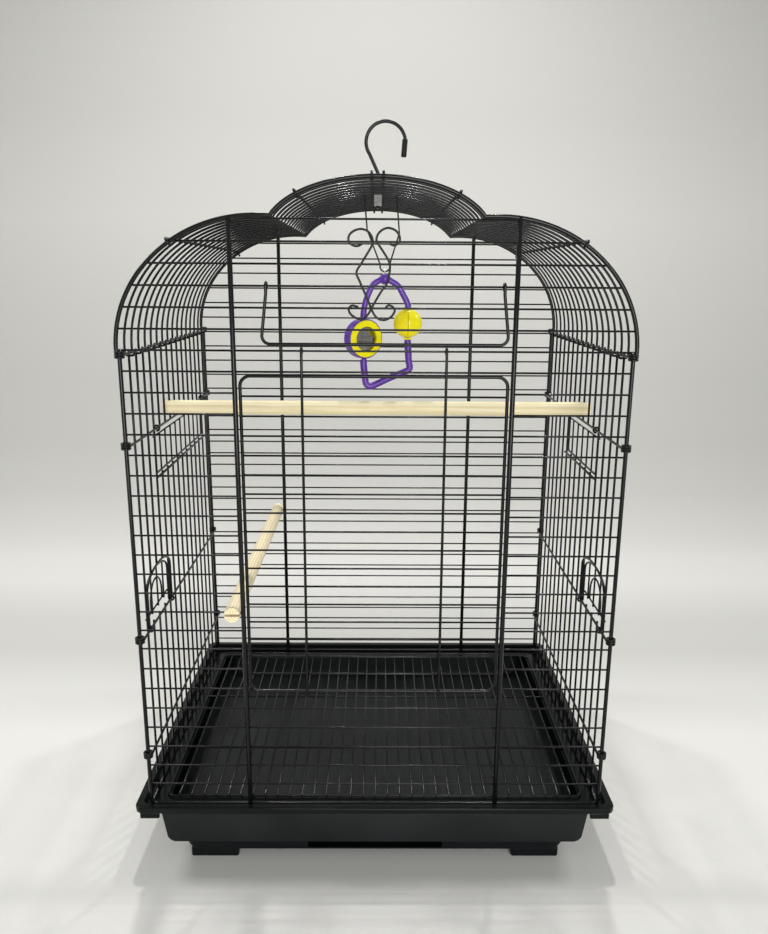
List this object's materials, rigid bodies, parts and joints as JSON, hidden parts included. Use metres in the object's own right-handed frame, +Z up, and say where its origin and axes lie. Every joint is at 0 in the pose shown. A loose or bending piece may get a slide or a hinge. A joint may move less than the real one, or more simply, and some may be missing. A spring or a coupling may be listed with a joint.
{
  "type": "bird cage",
  "caption": "Wire bird cage with a scalloped dome, large front door, side flaps, perches, hanging toy, ceiling hook and plastic base with a pull-out tray.",
  "frame": {"origin": "on the floor under the middle of the cage's box", "axes": "+Z up, -Y towards the front with the large door, +X to the right seen from the front"},
  "size_m": [0.4676, 0.3576, 0.7165],
  "materials": {
    "enamel": "black enamel",
    "base": "satin black moulded plastic",
    "dowel": "pale turned dowel, bare",
    "plated": "bright zinc plate",
    "sleeve": "black soft sleeve",
    "purple": "glossy purple plastic",
    "yellow": "glossy yellow plastic",
    "amber": "glossy amber plastic",
    "mirror": "mirror"
  },
  "bodies": {
    "root": {"front_low_grid": "enamel", "front_left_grid": "enamel", "front_right_grid": "enamel", "front_top_grid": "enamel", "back_panel": "enamel", "left_side_panel": "enamel", "right_side_panel": "enamel", "dome_wire_01": "enamel", "dome_wire_02": "enamel", "dome_wire_03": "enamel", "dome_wire_04": "enamel", "dome_wire_05": "enamel", "dome_wire_06": "enamel", "dome_wire_07": "enamel", "dome_wire_08": "enamel", "dome_wire_09": "enamel", "dome_wire_10": "enamel", "dome_wire_11": "enamel", "dome_wire_12": "enamel", "dome_wire_13": "enamel", "dome_wire_14": "enamel", "dome_wire_15": "enamel", "crest_rail_left": "enamel", "dome_rod_high_left": "enamel", "dome_rod_low_left": "enamel", "crest_rail_right": "enamel", "dome_rod_high_right": "enamel", "dome_rod_low_right": "enamel", "door_scroll": "enamel", "base_body": "base", "base_clip_front_left": "base", "base_clip_front_right": "base", "base_clip_back_left": "base", "base_clip_back_right": "base", "floor_grille": "enamel", "long_perch": "dowel", "short_perch": "dowel", "hook_strap": "enamel", "hook_block": "plated"},
    "main_door": {"main_door": "enamel"},
    "door_bail": {"door_bail": "enamel"},
    "left_low_flap": {"left_low_flap": "enamel"},
    "right_low_flap": {"right_low_flap": "enamel"},
    "left_high_flap": {"left_high_flap": "enamel"},
    "right_high_flap": {"right_high_flap": "enamel"},
    "tray": {"pull_out_tray": "base"},
    "hook": {"ceiling_hook": "enamel", "hook_tip_sleeve": "sleeve", "hook_nut": "plated"},
    "toy": {"toy_hanger": "enamel", "toy_frame": "purple", "toy_eye": "plated"},
    "toy_ball": {"toy_ball_left": "amber", "toy_ball_right": "yellow", "toy_ball_collar": "amber"},
    "toy_mirror": {"toy_mirror_case": "purple", "toy_mirror_ring": "yellow", "toy_mirror_glass": "mirror"}
  },
  "joints": [
    {"name": "main_door_hinge", "type": "hinge", "parent": "root", "child": "main_door", "pos_m": [-0.0025, -0.16276, 0.50327], "axis": [-1, 0, 0], "range_deg": [0, 88]},
    {"name": "bail_hinge", "type": "hinge", "parent": "root", "child": "door_bail", "pos_m": [0.0069, -0.16276, 0.55748], "axis": [-1, 0, 0], "range_deg": [0, 120]},
    {"name": "left_low_flap_hinge", "type": "hinge", "parent": "root", "child": "left_low_flap", "pos_m": [-0.2166, -0.14438, 0.2346], "axis": [0, -1, 0], "range_deg": [0, 110]},
    {"name": "right_low_flap_hinge", "type": "hinge", "parent": "root", "child": "right_low_flap", "pos_m": [0.2166, -0.14438, 0.2346], "axis": [0, 1, 0], "range_deg": [0, 110]},
    {"name": "left_high_flap_hinge", "type": "hinge", "parent": "root", "child": "left_high_flap", "pos_m": [-0.2166, -0.0825, 0.41947], "axis": [0, 1, 0], "range_deg": [0, 75]},
    {"name": "right_high_flap_hinge", "type": "hinge", "parent": "root", "child": "right_high_flap", "pos_m": [0.2166, -0.0825, 0.41947], "axis": [0, -1, 0], "range_deg": [0, 75]},
    {"name": "tray_slide", "type": "slide", "parent": "root", "child": "tray", "axis": [0, -1, 0], "range_m": [0, 0.3]},
    {"name": "hook_swivel", "type": "hinge", "parent": "root", "child": "hook", "pos_m": [0, -0.0078, 0.71471], "axis": [0, 0, 1], "continuous": true},
    {"name": "toy_swing", "type": "hinge", "parent": "root", "child": "toy", "pos_m": [0.0075, 0.0025, 0.64472], "axis": [1, 0, 0], "range_deg": [-20, 20]},
    {"name": "toy_ball_spin", "type": "hinge", "parent": "toy", "child": "toy_ball", "pos_m": [0.0319, 0.0003, 0.51799], "axis": [0, 0, 1], "continuous": true},
    {"name": "toy_mirror_spin", "type": "hinge", "parent": "toy", "child": "toy_mirror", "pos_m": [-0.015, 0.0003, 0.50169], "axis": [0, 0, 1], "continuous": true}
  ]
}
